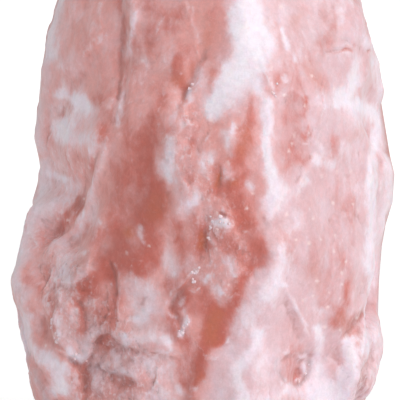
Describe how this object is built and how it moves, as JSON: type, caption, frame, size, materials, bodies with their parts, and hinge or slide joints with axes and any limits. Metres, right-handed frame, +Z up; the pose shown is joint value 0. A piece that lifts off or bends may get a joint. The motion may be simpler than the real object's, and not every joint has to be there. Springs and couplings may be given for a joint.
{
  "type": "halite lump",
  "caption": "Upright rough lump of massive pink rock salt with a blunt top, soft broken faces and a flat base to stand on.",
  "frame": {"origin": "centre of the lump's box on its flat base", "axes": "+Z up the lump, -Y towards the face seen in the picture, +X to that face's right"},
  "size_m": [0.14, 0.119, 0.2041],
  "materials": {
    "salt": "satin"
  },
  "bodies": {
    "root": {"halite_lump": "salt"}
  },
  "joints": []
}
